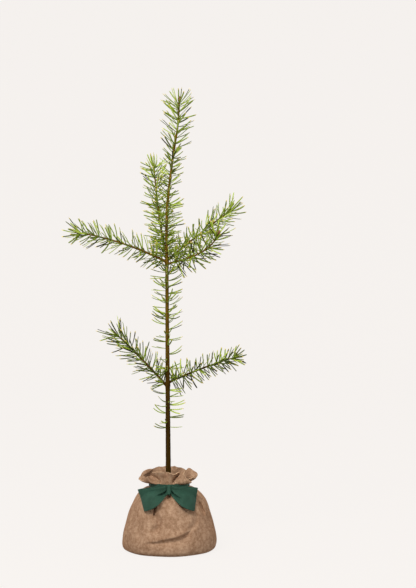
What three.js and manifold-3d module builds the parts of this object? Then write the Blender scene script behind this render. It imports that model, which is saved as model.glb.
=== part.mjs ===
// A young potted Scots pine, 0.93 m tall: one slender stem with two whorls of boughs, needles in
// pairs, and its root ball in a soft cloth pouch that a ribbon with a bow gathers at the neck.
// Millimetres, +Z up, +X to the viewer's right, -Y to the front. The origin is the centre of the
// pouch's flat underside.
import * as THREE from "three";
import { mergeVertices } from "three/addons/utils/BufferGeometryUtils.js";
import Module from "manifold-3d";

const wasm = await Module();
wasm.setup();

// Driving dimensions
const SOIL_HEIGHT = 126;
const STEM_TIP_HEIGHT = 894;
const STEM_FOOT_RADIUS = 5.3;
const STEM_TIP_RADIUS = 1.7;
const ROOT_FLARE = 2.4;
const ROOT_FLARE_HEIGHT = 9;
const LOWER_WHORL = 329;
const UPPER_WHORL = 573;
const GAP = 0.3;
const SLEEVE_WALL = 0.6;

// Where the stem's centre line passes, as [x, y, height]: nearly plumb, with a bow near the top.
const STEM_LINE = [
  [-1.6, 0, SOIL_HEIGHT + GAP],
  [-3, 0, LOWER_WHORL],
  [-4.6, 1, UPPER_WHORL],
  [-4.4, 1, 676],
  [7.5, 0, 785],
  [17.5, -2, 850],
  [20, -3, STEM_TIP_HEIGHT],
];

// Each bough leaves the stem at its whorl. Azimuth is measured from +X towards the back. Rise is the
// slope above level, which turns from rise[0] at the stem to rise[1] at the tip; bend is how late.
const BOUGHS = [
  {
    name: "upper_left", whorl: UPPER_WHORL, azimuth: 192, length: 186,
    rise: [27, 9], bend: 1, radius: 2.5, needle: 51,
  },
  {
    name: "upper_right", whorl: UPPER_WHORL + 3, azimuth: 35, length: 190,
    rise: [36, 32], bend: 1, radius: 2.5, needle: 43,
  },
  {
    name: "upper_front", whorl: UPPER_WHORL - 4, azimuth: -38, length: 145,
    rise: [11, 62], bend: 3, radius: 2.3, needle: 45,
  },
  {
    name: "upper_back", whorl: UPPER_WHORL + 10, azimuth: 113, length: 202,
    rise: [50, 78], bend: 0.5, radius: 2.5, needle: 39,
  },
  {
    name: "lower_left", whorl: LOWER_WHORL - 5, azimuth: 168, length: 150,
    rise: [47, 42], bend: 1, radius: 2.6, needle: 50,
  },
  {
    name: "lower_right", whorl: LOWER_WHORL + 3, azimuth: 18, length: 150,
    rise: [23, 15], bend: 1, radius: 2.4, needle: 34,
  },
];
const BOUGH_TIP_RADIUS = 1.3;
const BOUGH_BARE_LENGTH = 21;
const BOUGH_FASCICLE_SPACING = 4;

// Stretches of the stem that carry needles, from one height to another: the spacing of the pairs, and
// their lean off the stem in degrees and their length, each as it turns from the stretch's foot to its top
const STEM_NEEDLES = [
  { name: "stem_low", from: 246, to: 317, spacing: 8, lean: [90, 84], length: [27, 31] },
  { name: "stem_middle", from: 344, to: 450, spacing: 6.2, lean: [84, 76], length: [27, 32] },
  { name: "stem_high", from: 452, to: 559, spacing: 4.4, lean: [78, 70], length: [30, 34] },
  { name: "leader_low", from: 604, to: 690, spacing: 3.7, lean: [74, 66], length: [37, 33] },
  { name: "leader_middle", from: 692, to: 790, spacing: 3.6, lean: [68, 58], length: [28, 34] },
  { name: "leader_top", from: 792, to: 893, spacing: 2.9, lean: [62, 22], length: [38, 51] },
];

// A fascicle is two needles that share a short sheath.
const NEEDLE_WIDTH = 2;
const NEEDLE_THICKNESS = 1.3;
const NEEDLE_CLEARANCE = 2.2;
const FORK_DISTANCE = 4.2;
const FORK_ANGLE = 12;
const GOLDEN_ANGLE = 137.508;
const FASCICLE_TRIES = 8;

// Pouch, as a profile of [radius, height] up the outside of the body, then the frill above the neck
const POUCH_BODY = [
  [72, 0], [85, 0.9], [91.5, 5], [94, 13], [93, 30], [88.6, 50],
  [83, 71], [76, 90], [67.5, 105.5], [57, 117.5], [48, 123.6], [37, 127.2],
];
const POUCH_DEPTH_SHARE = 0.95;
const NECK_RADIUS = 34.5;
const NECK_HEIGHT = 134;
const FRILL_ROWS = 4;
const FRILL_FLARE = 4;
const CLOTH = 2.2;
const LINING_GAP = 4.5;
const BALL_GAP = 1.8;
const POUCH_COLUMNS = 54;

// The frill's rim as [azimuth, radius, height]: it stands up in front and behind, and flops at the sides.
const FRILL_RIM = [
  [-90, 44, 159], [-71, 43.4, 156], [-55, 36, 153.5], [-46, 45, 158.5], [-43, 57, 143], [-34, 55.5, 142.5],
  [-26, 46, 151.5], [-20, 54, 147.5], [-9, 51, 150], [1, 59, 148.5], [13, 52.5, 153.5], [25, 45, 157],
  [39, 42.5, 154], [56, 47.5, 158], [72, 47.5, 159], [86, 45, 158.7], [98, 48, 160], [110, 45.5, 158.6],
  [122, 48, 158], [137, 42.5, 154.5], [155, 51, 156], [173, 57, 149.5], [191, 60, 143.5], [206, 55, 142],
  [218, 53, 151.5], [232, 47.5, 157.5], [252, 46, 160],
];

// Ribbon
const BAND_LOW = 127.9;
const BAND_HIGH = 135;
const BAND_RADIUS = 39;
const RIBBON = 1.2;
const KNOT = { x: 1.2, width: 12.6, depth: 9, height: 22.5, lean: 42, front: 50.5, centre: 126 };
const BOW_LOOPS = [
  { name: "bow_left", side: -1, top: [-60, 125.8], bottom: [-46, 86.8], bulge: 5.5 },
  { name: "bow_right", side: 1, top: [57.8, 128.8], bottom: [51.3, 86.8], bulge: 4.5 },
];
const LOOP_ROOT = { top: 134.6, bottom: 117.4, inset: 1.8 };
const LOOP_OPEN = 8;
const LOOP_CLEAR = 2.5;
const FOLD_RELIEF = 2.6;

const COLOURS = {
  bark: [0x4a3316, 0.85],
  needles: [0x6f8a4c, 0.6],
  bud: [0x8a4338, 0.55],
  soil: [0x2e2118, 0.98],
  cloth: [0xab8a6c, 0.95],
  ribbon: [0x2f5a4a, 0.6],
};

const radians = THREE.MathUtils.degToRad;
const mix = THREE.MathUtils.lerp;
const ease = THREE.MathUtils.smoothstep;

function seeded(seed) {
  let state = seed;
  return () => {
    state = (state * 1664525 + 1013904223) >>> 0;
    return state / 4294967296;
  };
}

// Solids and meshes
function solidOf(geometry) {
  const bare = new THREE.BufferGeometry();
  bare.setAttribute("position", geometry.getAttribute("position"));
  if (geometry.index) bare.setIndex(geometry.index);
  const merged = mergeVertices(bare, 1e-3);
  return new wasm.Manifold(
    new wasm.Mesh({
      numProp: 3,
      vertProperties: new Float32Array(merged.attributes.position.array),
      triVerts: new Uint32Array(merged.index.array),
    }),
  );
}

function flipFaces(geometry) {
  const index = geometry.getIndex();
  for (let i = 0; i < index.count; i += 3) {
    const first = index.getX(i);
    index.setX(i, index.getX(i + 1));
    index.setX(i + 1, first);
  }
}

function geometryOf(solid) {
  const mesh = solid.getMesh();
  const geometry = new THREE.BufferGeometry();
  geometry.setAttribute("position", new THREE.BufferAttribute(mesh.vertProperties, 3));
  geometry.setIndex(new THREE.BufferAttribute(mesh.triVerts, 1));
  geometry.computeVertexNormals();
  return geometry;
}

function materialOf(kind) {
  const [color, roughness] = COLOURS[kind];
  return new THREE.MeshStandardMaterial({ color, roughness, metalness: 0 });
}

function largest(solid) {
  return solid.decompose().reduce((a, b) => (b.volume() > a.volume() ? b : a));
}

const tree = new THREE.Group();

function addNode(name, geometry, kind) {
  const mesh = new THREE.Mesh(geometry, materialOf(kind));
  mesh.name = name;
  tree.add(mesh);
  return mesh;
}

// Limbs: a cylinder's rings are set along a curve, each at its own radius.
function frameAt(curve, share) {
  const tangent = curve.getTangentAt(share);
  const side = new THREE.Vector3(0, 1, 0).cross(tangent).normalize();
  const over = tangent.clone().cross(side);
  return { point: curve.getPointAt(share), tangent, side, over };
}

function limbGeometry(curve, radiusAt, sides, rows, from = 0, to = 1) {
  const limb = new THREE.CylinderGeometry(1, 1, 1, sides, rows);
  const position = limb.getAttribute("position");
  for (let i = 0; i < position.count; i++) {
    const share = mix(from, to, position.getY(i) + 0.5);
    const frame = frameAt(curve, Math.min(Math.max(share, 0), 1));
    const radius = radiusAt(share);
    const place = frame.point
      .addScaledVector(frame.side, position.getX(i) * radius)
      .addScaledVector(frame.over, -position.getZ(i) * radius);
    position.setXYZ(i, place.x, place.y, place.z);
  }
  return limb;
}

// Stem
const stemCurve = new THREE.CatmullRomCurve3(
  STEM_LINE.map((p) => new THREE.Vector3(...p)),
  false,
  "centripetal",
);
stemCurve.arcLengthDivisions = 600;
const stemLength = stemCurve.getLength();
const STEM_SIDES = 8;
const STEM_ROWS = 22;

function stemRadius(share) {
  const flare = ROOT_FLARE * Math.exp((-share * stemLength) / ROOT_FLARE_HEIGHT);
  return mix(STEM_FOOT_RADIUS, STEM_TIP_RADIUS, share) + flare;
}

// The stem stays within a degree or two of plumb, so a height is a share of its length.
function stemShareAtHeight(height) {
  return (height - SOIL_HEIGHT - GAP) / (STEM_TIP_HEIGHT - SOIL_HEIGHT - GAP);
}

function stemCore(extra, from, to, rows) {
  return solidOf(limbGeometry(stemCurve, (s) => stemRadius(s) + extra, STEM_SIDES, rows, from, to));
}

const stemSolid = stemCore(0, 0, 1, STEM_ROWS);
const stemClear = stemCore(GAP, 0, 1, STEM_ROWS);
addNode("trunk", geometryOf(stemSolid), "bark");

// Boughs, in two parts: the bare foot, and the leafy rest that its mass of needles grows on
function boughCurve(bough) {
  const steps = 10;
  const step = bough.length / steps;
  const azimuth = radians(bough.azimuth);
  const place = stemCurve.getPointAt(stemShareAtHeight(bough.whorl));
  const points = [place.clone()];
  for (let i = 0; i < steps; i++) {
    const share = (i + 0.5) / steps;
    const rise = radians(mix(bough.rise[0], bough.rise[1], share ** bough.bend));
    place.x += Math.cos(azimuth) * Math.cos(rise) * step;
    place.y += Math.sin(azimuth) * Math.cos(rise) * step;
    place.z += Math.sin(rise) * step;
    points.push(place.clone());
  }
  return new THREE.CatmullRomCurve3(points, false, "centripetal");
}

function boughRadius(bough, share) {
  const collar = 0.4 * Math.exp((-share * bough.length) / 6);
  return mix(bough.radius, BOUGH_TIP_RADIUS, share) + collar;
}

// Needles already placed and limbs to keep clear of, as capsules { a, b, radius, owner }
const placed = [];

function keepClear(curve, radiusAt, owner, steps) {
  for (let i = 0; i < steps; i++) {
    const a = curve.getPointAt(i / steps);
    const b = curve.getPointAt((i + 1) / steps);
    placed.push({ a, b, radius: radiusAt(i / steps), owner, limb: true });
  }
}

// Shortest distance between two segments, sampled along the first
function segmentDistance(a, b, c, d) {
  const samples = 7;
  const along = d.clone().sub(c);
  const lengthSquared = along.lengthSq();
  let nearest = Infinity;
  for (let i = 0; i <= samples; i++) {
    const p = a.clone().lerp(b, i / samples);
    const t = THREE.MathUtils.clamp(p.clone().sub(c).dot(along) / lengthSquared, 0, 1);
    nearest = Math.min(nearest, p.distanceTo(c.clone().addScaledVector(along, t)));
  }
  return nearest;
}

function isClear(segments, owner) {
  return segments.every(({ a, b }) =>
    placed.every((other) => {
      if (other.limb && other.owner === owner) return true;
      const room = other.limb ? other.radius + NEEDLE_CLEARANCE : NEEDLE_CLEARANCE;
      if (a.distanceTo(other.a) > 80 + room) return true;
      return segmentDistance(a, b, other.a, other.b) > room;
    }),
  );
}

// One fascicle: a four-sided root that forks into two three-sided needles
function fascicleGeometry({ root, fork, tips, across, up }) {
  const points = [
    root,
    fork.clone().addScaledVector(across, -NEEDLE_WIDTH * 0.8),
    fork.clone().addScaledVector(up, NEEDLE_THICKNESS * 0.5),
    fork.clone().addScaledVector(across, NEEDLE_WIDTH * 0.8),
    fork.clone().addScaledVector(up, -NEEDLE_THICKNESS * 0.5),
    ...tips,
  ];
  const faces = [
    [0, 1, 2], [0, 2, 3], [0, 3, 4], [0, 4, 1],
    [1, 5, 2], [2, 5, 4], [4, 5, 1],
    [2, 6, 3], [3, 6, 4], [4, 6, 2],
  ];
  const geometry = new THREE.BufferGeometry().setFromPoints(points);
  geometry.setIndex(faces.flat());
  return geometry;
}

// Where one fascicle would go: its root, fork and tips, and the direction across the pair
function aimFascicle(frame, turn, lean, length, skin, random) {
  const outward = frame.side
    .clone()
    .multiplyScalar(Math.cos(turn))
    .addScaledVector(frame.over, Math.sin(turn));
  const aim = frame.tangent
    .clone()
    .multiplyScalar(Math.cos(lean))
    .addScaledVector(outward, Math.sin(lean))
    .normalize();
  const across = new THREE.Vector3().crossVectors(aim, outward).normalize();
  if (across.lengthSq() < 0.5) across.copy(frame.over);
  across.applyAxisAngle(aim, (random() - 0.5) * Math.PI);
  const up = new THREE.Vector3().crossVectors(aim, across);
  const half = radians(FORK_ANGLE * (0.6 + 0.8 * random()));
  const root = frame.point.clone();
  const fork = root.clone().addScaledVector(aim, FORK_DISTANCE + skin);
  const blade = length - FORK_DISTANCE;
  const tips = [-1, 1].map((sign) =>
    fork
      .clone()
      .addScaledVector(aim, blade * Math.cos(half) * (0.88 + 0.12 * random()))
      .addScaledVector(across, sign * blade * Math.sin(half)),
  );
  return { root, fork, tips, across, up };
}

// Grows a mass of needles on a core that follows the curve, and returns it as one solid.
function growMass({ curve, core, owner, seed, count, range, lean, length, skin }) {
  const random = seeded(seed);
  const parts = [core];
  const start = random() * 360;
  for (let i = 0; i < count; i++) {
    const step = (i + 0.5) / count;
    for (let attempt = 0; attempt < FASCICLE_TRIES; attempt++) {
      const share = mix(range[0], range[1], step + (random() - 0.5) * 0.5 / count);
      const turn = radians(start + i * GOLDEN_ANGLE + (random() - 0.5) * (20 + attempt * 14));
      const tilt = radians(mix(lean[0], lean[1], step ** 2) + (random() - 0.5) * 16);
      const reach = mix(length[0], length[1], step) * (0.86 + 0.24 * random());
      const aim = aimFascicle(frameAt(curve, share), turn, tilt, reach, skin(share), random);
      const free = aim.root.clone().lerp(aim.fork, 0.5);
      const segments = [
        { a: free, b: aim.fork },
        { a: aim.fork, b: aim.tips[0] },
        { a: aim.fork, b: aim.tips[1] },
      ];
      if (!isClear(segments, owner)) continue;
      segments.forEach((s) => placed.push({ ...s, radius: NEEDLE_WIDTH / 2, owner }));
      parts.push(solidOf(fascicleGeometry(aim)));
      break;
    }
  }
  return parts.reduce((whole, piece) => whole.add(piece));
}

// Buds: a pointed spindle of revolution, standing on a limb's tip
function budGeometry(length, radius) {
  const outline = [
    [0, 0], [0.62, 0], [0.95, 0.22], [1, 0.45], [0.72, 0.75], [0.3, 0.94], [0, 1],
  ];
  const points = outline.map(([r, h]) => new THREE.Vector2(r * radius, h * length));
  return new THREE.LatheGeometry(points, 6).rotateX(Math.PI / 2);
}

function addBud(name, curve, length, radius) {
  const bud = addNode(name, budGeometry(length, radius), "bud");
  const tangent = curve.getTangentAt(1);
  bud.quaternion.setFromUnitVectors(new THREE.Vector3(0, 0, 1), tangent);
  bud.position.copy(curve.getPointAt(1)).addScaledVector(tangent, GAP);
  placed.push({
    a: bud.position.clone(),
    b: bud.position.clone().addScaledVector(tangent, length),
    radius,
    owner: name,
    limb: true,
  });
}

keepClear(stemCurve, (s) => stemRadius(s) + GAP + SLEEVE_WALL, "trunk", 40);
const boughs = BOUGHS.map((bough) => ({ ...bough, curve: boughCurve(bough) }));
for (const bough of boughs) {
  keepClear(bough.curve, (s) => boughRadius(bough, s), "needles_" + bough.name, 12);
  addBud("bud_" + bough.name, bough.curve, 10, 2.1);
}
addBud("bud_leader", stemCurve, 12, 3.2);

for (const bough of boughs) {
  const radiusAt = (share) => boughRadius(bough, share);
  const bare = BOUGH_BARE_LENGTH / bough.length;
  const leafy = bare + GAP / bough.length;
  const foot = solidOf(limbGeometry(bough.curve, radiusAt, 7, 3, 0, bare)).subtract(stemClear);
  addNode("bough_" + bough.name, geometryOf(largest(foot)), "bark");
  const core = solidOf(limbGeometry(bough.curve, radiusAt, 6, 6, leafy, 1));
  const mass = growMass({
    curve: bough.curve,
    core,
    owner: "needles_" + bough.name,
    seed: bough.azimuth + 400,
    count: Math.round((bough.length - BOUGH_BARE_LENGTH) / BOUGH_FASCICLE_SPACING),
    range: [leafy + 0.02, 0.985],
    lean: [64, 22],
    length: [32, bough.needle],
    skin: () => 0,
  });
  addNode("needles_" + bough.name, geometryOf(mass), "needles");
}

STEM_NEEDLES.forEach((stretch, index) => {
  const from = stemShareAtHeight(stretch.from);
  const to = stemShareAtHeight(stretch.to);
  const core = stemCore(GAP + SLEEVE_WALL, from, to, 4);
  const mass = growMass({
    curve: stemCurve,
    core,
    owner: "trunk",
    seed: 71 + index,
    count: Math.round((stretch.to - stretch.from) / stretch.spacing),
    range: [from + 0.004, to - 0.003],
    lean: stretch.lean,
    length: stretch.length,
    skin: stemRadius,
  });
  addNode("needles_" + stretch.name, geometryOf(mass.subtract(stemClear)), "needles");
});

// Pouch: one closed profile is turned about the axis, then its rings are drawn into folds.
// The pouch's columns each run from the base to a place on the rim, and lie at its azimuth.
const rim = new THREE.CatmullRomCurve3(
  FRILL_RIM.map(([azimuth, radius, height]) => {
    const angle = radians(azimuth);
    return new THREE.Vector3(radius * Math.cos(angle), radius * Math.sin(angle), height);
  }),
  true,
);

function rimColumn(turn) {
  const place = rim.getPoint(((turn / (2 * Math.PI)) % 1 + 1) % 1);
  return { angle: Math.atan2(place.y, place.x), radius: Math.hypot(place.x, place.y), height: place.z };
}

// Soft folds down the pouch's body: pleats that start at the neck and die out over the belly
function bodyFold(angle, height) {
  const pleats = Math.cos(11 * angle + 0.6) + 0.6 * Math.cos(17 * angle - 1.1);
  const nearNeck = ease(height, 60, 116) * (1 - ease(height, 115, 127));
  const belly = Math.cos(3 * angle + 0.4) * ease(height, 8, 40) * (1 - ease(height, 90, 120));
  return 1.1 * pleats * nearNeck + 1.1 * belly;
}

// The lining follows every third row of the body's outline, a wall's thickness in.
const LINING = POUCH_BODY.filter((_, i) => i % 3 === 1).map(([radius, height]) => [
  Math.min(radius - LINING_GAP, 86),
  Math.max(height, CLOTH),
]);

function pouchProfile() {
  const rows = POUCH_BODY.map(([radius, height]) => ({ radius, height, skin: "body" }));
  const frill = Array.from({ length: FRILL_ROWS + 1 }, (_, i) => i / FRILL_ROWS);
  const inside = [...LINING].reverse();
  return [
    { radius: 0, height: 0, skin: "base" },
    ...rows,
    ...frill.map((t) => ({ t, out: 1, skin: "frill" })),
    ...frill.reverse().map((t) => ({ t, out: 0, skin: "frill" })),
    ...inside.map(([radius, height]) => ({ radius, height, skin: "lining" })),
    { radius: 0, height: CLOTH, skin: "base" },
  ];
}

// From the neck the cloth rises to the rim, and where the rim lies low it arches over to it.
function frillPoint(t, out, column) {
  const open = t ** 1.4;
  const flop = THREE.MathUtils.clamp((column.radius - 46) / 11, 0, 1);
  const radius = mix(NECK_RADIUS, column.radius, open) - (1 - out) * CLOTH;
  const arch = FRILL_FLARE * flop * Math.sin(Math.PI * t);
  const height = mix(NECK_HEIGHT, column.height, t) + arch - (1 - out) * (0.4 + flop) * open;
  return { radius, height };
}

function pouchGeometry() {
  const rows = pouchProfile();
  const stations = rows.map((_, i) => new THREE.Vector2(1, i));
  const pouch = new THREE.LatheGeometry(stations, POUCH_COLUMNS);
  const position = pouch.getAttribute("position");
  for (let i = 0; i < position.count; i++) {
    const row = rows[Math.round(position.getY(i))];
    const column = rimColumn(Math.atan2(position.getZ(i), position.getX(i)));
    const { angle } = column;
    let { radius, height } = row;
    if (row.skin === "frill") ({ radius, height } = frillPoint(row.t, row.out, column));
    if (row.skin === "body" && height > 0) radius += bodyFold(angle, height);
    const x = radius * Math.cos(angle);
    const y = radius * Math.sin(angle) * POUCH_DEPTH_SHARE;
    position.setXYZ(i, x, y, height);
  }
  flipFaces(pouch);
  return pouch;
}

const pouchSolid = solidOf(pouchGeometry());
addNode("pouch", geometryOf(pouchSolid), "cloth");

// Root ball, filling the pouch up to the neck
const ballOutline = [
  [0, CLOTH + GAP],
  ...LINING.map(([r, h]) => [r - BALL_GAP, Math.min(h + GAP, SOIL_HEIGHT - 1)]),
  [NECK_RADIUS - 8, SOIL_HEIGHT],
  [0, SOIL_HEIGHT],
];
const ball = new THREE.LatheGeometry(ballOutline.map(([r, h]) => new THREE.Vector2(r, h)), 32);
ball.rotateX(Math.PI / 2).scale(1, POUCH_DEPTH_SHARE, 1);
addNode("root_ball", ball, "soil");

// Ribbon: a band round the neck, two pinched loops and the knot between them
const band = new THREE.LatheGeometry(
  [
    [BAND_RADIUS + 0.6, BAND_LOW],
    [BAND_RADIUS + RIBBON + 0.6, BAND_LOW],
    [BAND_RADIUS + RIBBON, BAND_HIGH],
    [BAND_RADIUS, BAND_HIGH],
    [BAND_RADIUS + 0.6, BAND_LOW],
  ].map(([r, h]) => new THREE.Vector2(r, h)),
  32,
);
band.rotateX(Math.PI / 2).scale(1, POUCH_DEPTH_SHARE, 1);

// How far the pouch's front stands out at a place, or 0 where the place is past its side
function pouchFront(x, height) {
  const above = POUCH_BODY.findIndex(([, h]) => h > height);
  if (above < 1) return NECK_RADIUS;
  const [lowRadius, low] = POUCH_BODY[above - 1];
  const [highRadius, high] = POUCH_BODY[above];
  const radius = mix(lowRadius, highRadius, (height - low) / (high - low)) + FOLD_RELIEF;
  return POUCH_DEPTH_SHARE * Math.sqrt(Math.max(radius ** 2 - x ** 2, 0));
}

// A loop is a strip of ribbon that leaves the knot, turns back at its outer end and returns behind.
// u runs along the strip and v from its top edge to its bottom edge.
function loopPoint(loop, u, v) {
  const out = (1 - Math.cos(2 * Math.PI * u)) / 2;
  const open = LOOP_OPEN * (1 - 0.35 * v) * Math.sin(2 * Math.PI * u);
  const split = 1.1 * Math.cos(Math.PI * u) + open;
  const outer = new THREE.Vector2(...loop.top).lerp(new THREE.Vector2(...loop.bottom), v);
  const sag = loop.bulge * Math.sin(Math.PI * out ** 0.8) * v;
  const x = mix(KNOT.x + loop.side * (KNOT.width / 2 - LOOP_ROOT.inset), outer.x, out);
  const height = mix(mix(LOOP_ROOT.top, LOOP_ROOT.bottom, v), outer.y, out) - sag;
  const middle = Math.max(
    mix(KNOT.front, KNOT.front - 9, out),
    pouchFront(x, height) + Math.abs(open) + LOOP_CLEAR,
  );
  return new THREE.Vector3(x, -middle - split, height);
}

function loopGeometry(loop) {
  const strip = new THREE.BoxGeometry(1, 1, 1, 18, 4, 1);
  const position = strip.getAttribute("position");
  for (let i = 0; i < position.count; i++) {
    const u = position.getX(i) + 0.5;
    const v = 0.5 - position.getY(i);
    const place = loopPoint(loop, u, v);
    const ahead = loopPoint(loop, Math.min(u + 0.01, 1), v);
    const behind = loopPoint(loop, Math.max(u - 0.01, 0), v);
    const along = ahead.sub(behind).normalize();
    const outward = new THREE.Vector3(along.y, -along.x, 0).normalize().multiplyScalar(loop.side * -1);
    place.addScaledVector(outward, position.getZ(i) * RIBBON);
    position.setXYZ(i, place.x, place.y, place.z);
  }
  if (loop.side > 0) flipFaces(strip);
  return strip;
}

// The knot leans out with the pouch's shoulder.
function knotSolid(extra) {
  const knot = new THREE.SphereGeometry(1, 10, 7);
  knot.rotateX(Math.PI / 2);
  knot.scale(KNOT.width / 2 + extra, KNOT.depth / 2 + extra, KNOT.height / 2 + extra);
  knot.rotateX(radians(-KNOT.lean));
  knot.translate(KNOT.x, -KNOT.front, KNOT.centre);
  return solidOf(knot);
}

const knotClear = knotSolid(GAP);
addNode("ribbon_band", band, "ribbon");
addNode("bow_knot", geometryOf(knotSolid(0)), "ribbon");
for (const loop of BOW_LOOPS) {
  const cloth = solidOf(loopGeometry(loop)).subtract(knotClear);
  addNode(loop.name, geometryOf(largest(cloth)), "ribbon");
}

export default tree;
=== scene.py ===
# The potted young pine: bark, needles in pairs, buds, the cloth pouch and its ribbon, grown round
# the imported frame. Metres, +Z up, +X to the viewer's right, -Y to the front.
import math

import bpy
import numpy as np
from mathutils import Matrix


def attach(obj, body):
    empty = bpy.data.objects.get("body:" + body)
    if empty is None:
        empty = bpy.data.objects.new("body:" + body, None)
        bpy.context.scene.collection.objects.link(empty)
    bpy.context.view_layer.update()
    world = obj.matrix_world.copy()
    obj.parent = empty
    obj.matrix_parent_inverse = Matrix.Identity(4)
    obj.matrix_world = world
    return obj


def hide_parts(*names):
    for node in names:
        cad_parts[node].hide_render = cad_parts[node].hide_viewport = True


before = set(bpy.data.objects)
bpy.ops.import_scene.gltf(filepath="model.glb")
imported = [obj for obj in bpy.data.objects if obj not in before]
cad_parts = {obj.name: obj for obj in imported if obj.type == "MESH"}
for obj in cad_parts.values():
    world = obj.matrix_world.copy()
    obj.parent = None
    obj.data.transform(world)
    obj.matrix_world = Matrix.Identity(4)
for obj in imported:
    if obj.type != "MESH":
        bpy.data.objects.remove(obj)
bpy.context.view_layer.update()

MM = 0.001

# Stem and boughs, in millimetres, as the frame's solids have them. A bough's azimuth is measured from
# +X towards the back. Its rise above level turns from the stem to the tip, and bend is how late.
SOIL_HEIGHT = 126.0
STEM_TIP_HEIGHT = 894.0
STEM_FOOT_RADIUS = 5.3
STEM_TIP_RADIUS = 1.7
ROOT_FLARE = 2.4
ROOT_FLARE_HEIGHT = 9.0
LOWER_WHORL = 329.0
UPPER_WHORL = 573.0
STEM_LINE = [
    (-1.6, 0, 126.3),
    (-3, 0, LOWER_WHORL),
    (-4.6, 1, UPPER_WHORL),
    (-4.4, 1, 676),
    (7.5, 0, 785),
    (17.5, -2, 850),
    (20, -3, STEM_TIP_HEIGHT),
]
BOUGHS = [
    dict(
        name="upper_left", whorl=UPPER_WHORL, azimuth=192, length=186,
        rise=(27, 9), bend=1, radius=2.5,
    ),
    dict(
        name="upper_right", whorl=UPPER_WHORL + 3, azimuth=35, length=190,
        rise=(36, 32), bend=1, radius=2.5,
    ),
    dict(
        name="upper_front", whorl=UPPER_WHORL - 4, azimuth=-38, length=145,
        rise=(11, 62), bend=3, radius=2.3,
    ),
    dict(
        name="upper_back", whorl=UPPER_WHORL + 10, azimuth=113, length=202,
        rise=(50, 78), bend=0.5, radius=2.5,
    ),
    dict(
        name="lower_left", whorl=LOWER_WHORL - 5, azimuth=168, length=150,
        rise=(47, 42), bend=1, radius=2.6,
    ),
    dict(
        name="lower_right", whorl=LOWER_WHORL + 3, azimuth=18, length=150,
        rise=(23, 15), bend=1, radius=2.4,
    ),
]
BOUGH_TIP_RADIUS = 1.3

# Needles: how far apart the pairs stand, then their lean off the shoot and their length, each from
# the foot of the stretch to its top, how much they turn up, and how far they lean to the dark tones,
# which is painted shade, set shoot by shoot
BOUGH_BARE = 6.0
BOUGH_NEEDLES = [
    dict(name="upper_left", spacing=2.55, lean=(70, 40), length=(36, 38), upturn=0.08, shade=-0.15),
    dict(name="upper_right", spacing=2.45, lean=(66, 44), length=(33, 37), upturn=0.12, shade=-0.3),
    dict(name="upper_front", spacing=2.35, lean=(76, 44), length=(35, 37), upturn=0.05, shade=0.1),
    dict(name="upper_back", spacing=2.35, lean=(76, 54), length=(37, 35), upturn=0.12, shade=-0.7),
    dict(name="lower_left", spacing=2.35, lean=(66, 40), length=(34, 43), upturn=0.08, shade=0.7),
    dict(name="lower_right", spacing=2.1, lean=(80, 50), length=(34, 32), upturn=0.02, shade=0.6),
]
STEM_NEEDLES = [
    dict(
        name="stem_low", low=240, high=324, spacing=5.2,
        lean=(92, 84), length=(31, 35), upturn=0.2, shade=-0.5,
    ),
    dict(
        name="stem_middle", low=334, high=451, spacing=6.4,
        lean=(88, 78), length=(31, 35), upturn=0.2, shade=-0.4,
    ),
    dict(
        name="stem_high", low=451, high=568, spacing=3.2,
        lean=(84, 76), length=(31, 36), upturn=0.2, shade=-0.4,
    ),
    dict(
        name="leader_low", low=578, high=691, spacing=1.95,
        lean=(84, 74), length=(38, 36), upturn=0.08, shade=-0.35,
    ),
    dict(
        name="leader_middle", low=691, high=791, spacing=2.4,
        lean=(70, 60), length=(27, 32), upturn=0.06, shade=-0.3,
    ),
    dict(
        name="leader_top", low=791, high=889, spacing=2.75,
        lean=(62, 58), length=(38, 43), upturn=0.04, shade=-0.15,
    ),
]
SHOOT_END = 0.995
# More pairs fan out round the bud at a shoot's end, from nearly along it to nearly across it
TIP_PAIRS = 5
TIP_DEPTH = 9.0
TIP_END = 0.997
TIP_LEAN = (16, 74)
LEADER_TIP_PAIRS = 7
LEADER_TIP_FOOT = 880.0
LEADER_TIP_LEAN = (14, 78)
# Pairs stand in loose bunches: how many to each, and how strongly they are drawn together
BUNCH_PAIRS = 9
BUNCH_PULL = 0.55
GOLDEN_ANGLE = 137.508
TURN_JITTER = 18.0
LEAN_JITTER = 10.0
SPACING_JITTER = 0.4
GROW_TRIES = 6
# One pair: the needles' width, the angle between them, and how far each measure varies
NEEDLE_WIDTH = 2.6
WIDTH_SPREAD = (0.86, 1.12)
LENGTH_SPREAD = (0.8, 1.06)
TWIN_LENGTH_SPREAD = (0.93, 1.0)
FORK_ANGLE = 11.0
FORK_SPREAD = (0.3, 1.5)
PAIR_ROLL = 1.2
PAIR_FOOT_GAP = 0.3
UPTURN_SPREAD = (0.0, 1.7)
DROOP = 0.05
ROOT_DEPTH_SHARE = 0.72
OWN_LIMB_GAP = 0.4
OTHER_LIMB_GAP = 1.0
# Tones: how much darker needles that point down are, which is painted shade on the undersides, and
# how many needles share their twin's tone or have a pale point
DOWN_SHADE = 0.9
TWIN_TONE_SHARE = 0.6
PALE_POINT_SHARE = 0.7


def colour(red, green, blue):
    """sRGB values from 0 to 255 as the linear colour a shader takes"""
    linear = []
    for value in (red, green, blue):
        c = value / 255
        linear.append(c / 12.92 if c <= 0.04045 else ((c + 0.055) / 1.055) ** 2.4)
    return (*linear, 1.0)


def grey(value):
    return (value, value, value, 1.0)


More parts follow.
